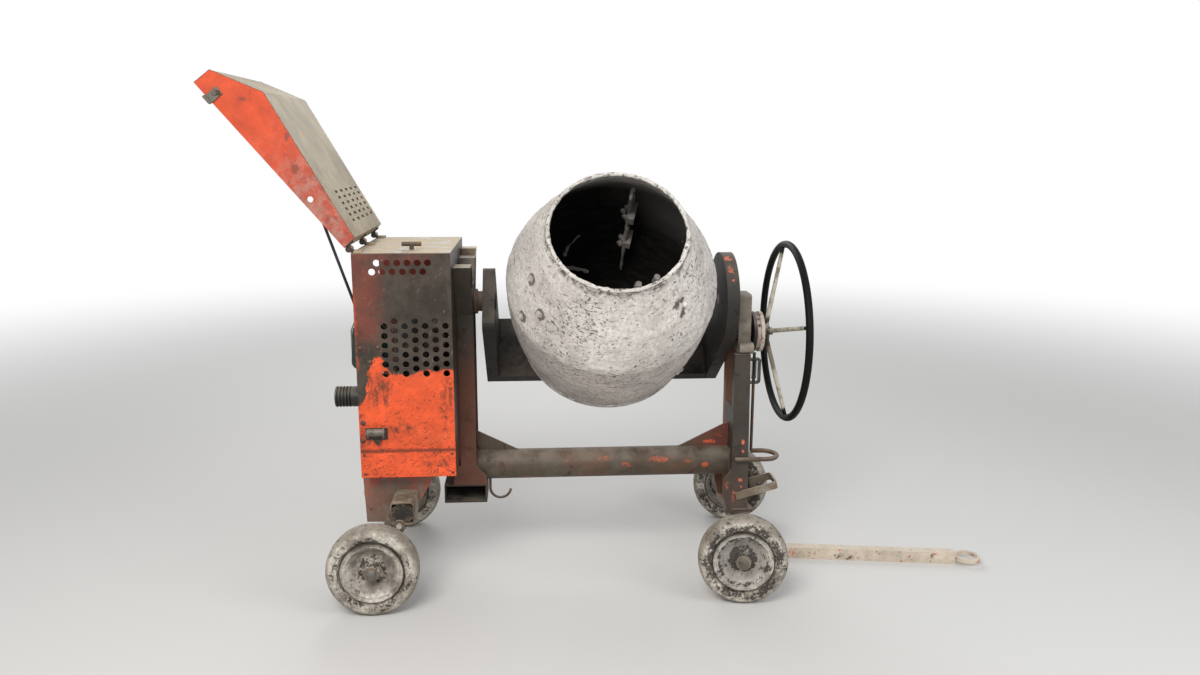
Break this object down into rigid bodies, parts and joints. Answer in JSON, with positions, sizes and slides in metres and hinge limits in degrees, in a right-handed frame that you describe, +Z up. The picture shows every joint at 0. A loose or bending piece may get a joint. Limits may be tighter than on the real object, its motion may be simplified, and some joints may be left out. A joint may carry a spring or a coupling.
{
  "type": "portable concrete mixer",
  "caption": "Site mixer with a tilting drum in a yoke, an engine housing with an open hood, a handwheel, a drawbar and wheels",
  "frame": {"origin": "on the ground, below the middle of the overall box", "axes": "+X along the machine towards the drawbar, +Z up, -Y the side that the drum's mouth faces"},
  "size_m": [2.8554, 0.9634, 1.8628],
  "materials": {
    "orange_paint": "chipped, stained orange paint",
    "worn_paint": "dark worn paint with dust",
    "dusty_paint": "paint under a coat of beige dust",
    "rusty_steel": "rusty dark steel with traces of paint",
    "cement_crust": "steel under a crust of pale cement",
    "cement_tyre": "solid rubber caked in cement",
    "dark_steel": "oily dark iron",
    "black_paint": "worn black paint",
    "green_tank": "dark green paint",
    "black_plastic": "ribbed black plastic",
    "bare_steel": "worn grey steel"
  },
  "bodies": {
    "chassis": {"main_tube": "rusty_steel", "rear_bracket": "rusty_steel", "rear_axle": "rusty_steel", "skirt": "orange_paint", "front_panel": "orange_paint", "back_panel": "orange_paint", "side_panel": "worn_paint", "top_panel": "dusty_paint", "top_handle": "rusty_steel", "hood_hinges": "rusty_steel", "hood_catch": "bare_steel", "engine": "dark_steel", "flywheel": "dark_steel", "silencer": "rusty_steel", "fuel_tank": "green_tank", "air_cleaner": "black_plastic", "left_post": "worn_paint", "drive_cover": "dusty_paint", "stand_legs": "worn_paint", "stand_head": "bare_steel", "king_plate": "worn_paint", "fork_pocket": "rusty_steel", "tube_hook": "rusty_steel", "lock_bolt": "dark_steel", "lock_pedal": "rusty_steel", "bar_clip": "rusty_steel"},
    "hood": {"hood": "orange_paint", "hood_latch": "bare_steel"},
    "prop": {"prop_rod": "black_paint"},
    "front_axle": {"front_axle": "rusty_steel"},
    "drawbar": {"drawbar": "dusty_paint", "tow_eye": "rusty_steel"},
    "yoke": {"yoke": "worn_paint", "trunnion_left": "rusty_steel", "trunnion_right": "bare_steel", "tilt_gear": "dark_steel", "yoke_drive": "dark_steel"},
    "drum": {"drum_cone": "cement_crust", "drum_shell": "cement_crust", "drum_floor": "cement_crust", "drum_rim": "cement_crust", "drum_spindle": "rusty_steel", "paddles": "cement_crust"},
    "handwheel": {"handwheel": "black_paint", "lock_disc": "bare_steel", "pinion": "dark_steel"},
    "wheel_rear_near": {"tyre_rear_near": "cement_tyre", "rim_rear_near": "cement_crust"},
    "wheel_rear_far": {"tyre_rear_far": "cement_tyre", "rim_rear_far": "cement_crust"},
    "wheel_front_near": {"tyre_front_near": "cement_tyre", "rim_front_near": "cement_crust"},
    "wheel_front_far": {"tyre_front_far": "cement_tyre", "rim_front_far": "cement_crust"}
  },
  "joints": [
    {"name": "hood_hinge", "type": "hinge", "parent": "chassis", "child": "hood", "pos_m": [-0.96291, 0.03078, 1.278], "axis": [0, -1, 0], "range_deg": [0, 140]},
    {"name": "prop_swing", "type": "hinge", "parent": "chassis", "child": "prop", "pos_m": [-0.94591, -0.23422, 1.06], "axis": [0, -1, 0], "range_deg": [0, 148]},
    {"name": "steer", "type": "hinge", "parent": "chassis", "child": "front_axle", "pos_m": [0.46809, 0.03078, 0.1625], "axis": [0, 0, 1], "range_deg": [-26.4, 43.6]},
    {"name": "drawbar_lift", "type": "hinge", "parent": "front_axle", "child": "drawbar", "pos_m": [0.57685, 0.01433, 0.09], "axis": [-0.1495, -0.9888, 0], "range_deg": [0, 80]},
    {"name": "yoke_tilt", "type": "hinge", "parent": "chassis", "child": "yoke", "pos_m": [-0.04991, 0.03078, 1.051], "axis": [1, 0, 0], "range_deg": [-50, 90]},
    {"name": "drum_spin", "type": "hinge", "parent": "yoke", "child": "drum", "pos_m": [-0.04991, 0.03078, 1.051], "axis": [0, -0.766, 0.6428], "continuous": true},
    {"name": "handwheel_turn", "type": "hinge", "parent": "chassis", "child": "handwheel", "pos_m": [0.49909, 0.03078, 0.9235], "axis": [1, 0, 0], "range_deg": [-216, 120]},
    {"name": "spin_rear_near", "type": "hinge", "parent": "chassis", "child": "wheel_rear_near", "pos_m": [-0.91191, -0.36122, 0.1625], "axis": [0, 1, 0], "continuous": true},
    {"name": "spin_rear_far", "type": "hinge", "parent": "chassis", "child": "wheel_rear_far", "pos_m": [-0.91191, 0.42278, 0.1625], "axis": [0, 1, 0], "continuous": true},
    {"name": "spin_front_near", "type": "hinge", "parent": "front_axle", "child": "wheel_front_near", "pos_m": [0.40947, -0.35681, 0.1625], "axis": [0.1495, 0.9888, 0], "continuous": true},
    {"name": "spin_front_far", "type": "hinge", "parent": "front_axle", "child": "wheel_front_far", "pos_m": [0.52671, 0.41837, 0.1625], "axis": [0.1495, 0.9888, 0], "continuous": true}
  ],
  "couplings": [
    {"joint": "prop_swing", "follows": "hood_hinge", "ratio": 1.0571},
    {"joint": "handwheel_turn", "follows": "yoke_tilt", "ratio": -2.4}
  ]
}
